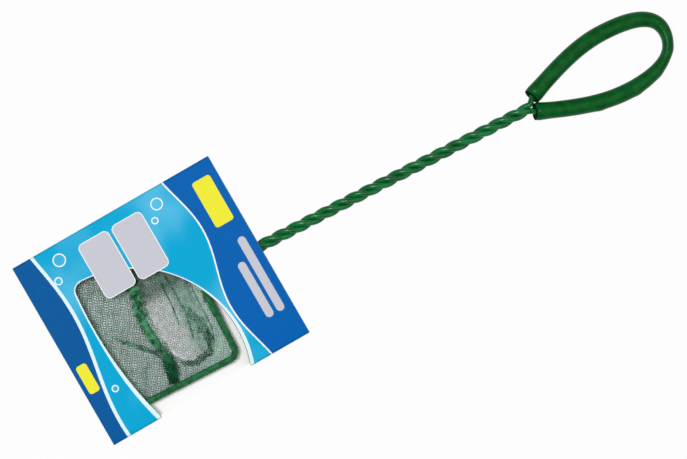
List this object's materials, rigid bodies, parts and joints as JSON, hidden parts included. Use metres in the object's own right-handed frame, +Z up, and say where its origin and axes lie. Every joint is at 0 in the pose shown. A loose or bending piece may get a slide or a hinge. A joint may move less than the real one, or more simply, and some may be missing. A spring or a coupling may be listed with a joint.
{
  "type": "aquarium fish net",
  "caption": "Small fish net: hemmed wire hoop with fine netting, twisted wire handle ending in a tube-covered hanging loop, lying in a windowed card sleeve that slides off.",
  "frame": {"origin": "on the underside of the card sleeve, straight below the axis of the handle, near the middle of the sleeve", "axes": "+X along the handle from the hoop to the grip loop, +Z up out of the sleeve's printed front, +Y to the left"},
  "size_m": [0.313, 0.0966, 0.0071],
  "materials": {
    "coated_wire": "smooth glossy green plastic coat on steel wire",
    "grip_tube": "soft green plastic tube, satin gloss",
    "hem": "folded nylon net, sewn in a dense green band",
    "netting": "fine green nylon mesh",
    "card": "coated board, printed blue outside, white inside"
  },
  "bodies": {
    "net": {"shank_strand_right": "coated_wire", "shank_strand_left": "coated_wire", "shank_strand_return": "coated_wire", "hoop_wire": "coated_wire", "loop_wire": "coated_wire", "grip_tube": "grip_tube", "hem_binding": "hem", "net_back": "netting", "net_pouch": "netting"},
    "sleeve": {"sleeve_back_panel": "card", "sleeve_front_panel": "card", "sleeve_left_spine": "card", "sleeve_right_spine_upper": "card", "sleeve_right_spine_lower": "card", "sleeve_bottom_flap": "card"}
  },
  "joints": [
    {"name": "sleeve_slide", "type": "slide", "parent": "net", "child": "sleeve", "axis": [-0.9988, -0.0499, 0], "range_m": [0, 0.115]}
  ]
}
